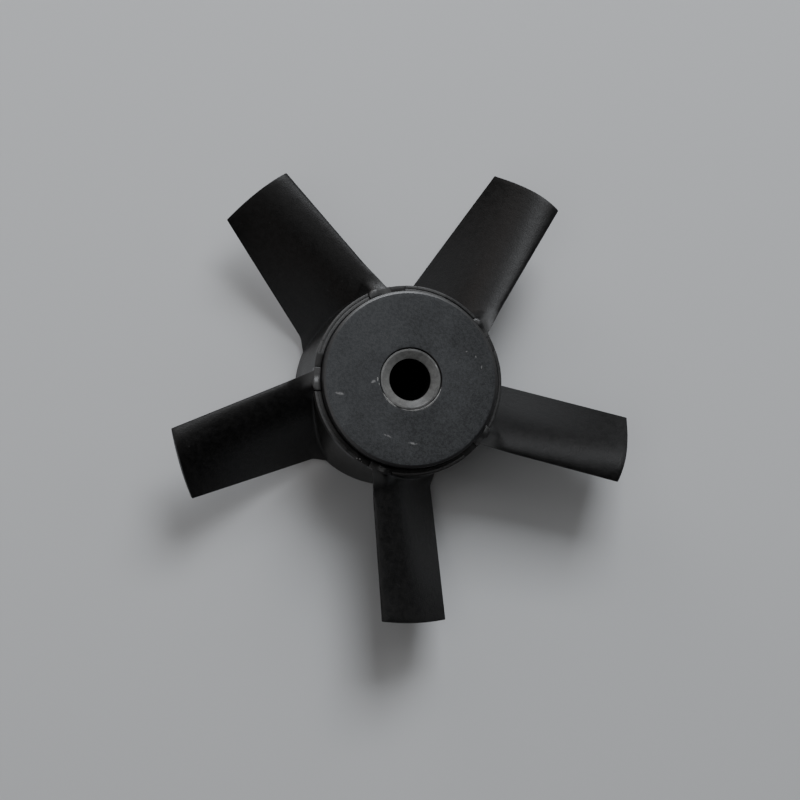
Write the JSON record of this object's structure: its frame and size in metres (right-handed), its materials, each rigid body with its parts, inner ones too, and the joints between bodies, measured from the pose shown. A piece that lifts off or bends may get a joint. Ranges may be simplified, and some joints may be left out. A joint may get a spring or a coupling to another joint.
{
  "type": "ducted fan rotor",
  "caption": "Black moulded rotor of a model-aircraft ducted fan: twisted blades round a hollow hub with a raised front disc and a central shaft bore.",
  "frame": {"origin": "where the shaft axis meets the plane of the hub's rear rim, on which the rotor stands", "axes": "+Z along the shaft towards the air inlet, and the first blade points along -Y"},
  "size_m": [0.0622, 0.0595, 0.0158],
  "materials": {
    "hub_plastic": "satin black moulded nylon",
    "disc_plastic": "fine spark-eroded grain, dark grey",
    "sleeve_plastic": "smooth, lighter grey",
    "blade_plastic": "satin black moulded nylon",
    "shoulder_plastic": "satin black moulded nylon"
  },
  "bodies": {
    "root": {"hub_shell": "hub_plastic", "front_disc": "disc_plastic", "shaft_sleeve": "sleeve_plastic", "hub_rib_1": "hub_plastic", "hub_rib_2": "hub_plastic", "hub_rib_3": "hub_plastic", "hub_rib_4": "hub_plastic", "hub_rib_5": "hub_plastic", "blade_1": "blade_plastic", "blade_2": "blade_plastic", "blade_3": "blade_plastic", "blade_4": "blade_plastic", "blade_5": "blade_plastic", "root_pad_1": "shoulder_plastic", "root_pad_2": "shoulder_plastic", "root_pad_3": "shoulder_plastic", "root_pad_4": "shoulder_plastic", "root_pad_5": "shoulder_plastic", "rim_segment_1": "shoulder_plastic", "rim_segment_2": "shoulder_plastic", "rim_segment_3": "shoulder_plastic", "rim_segment_4": "shoulder_plastic", "rim_segment_5": "shoulder_plastic"}
  },
  "joints": []
}
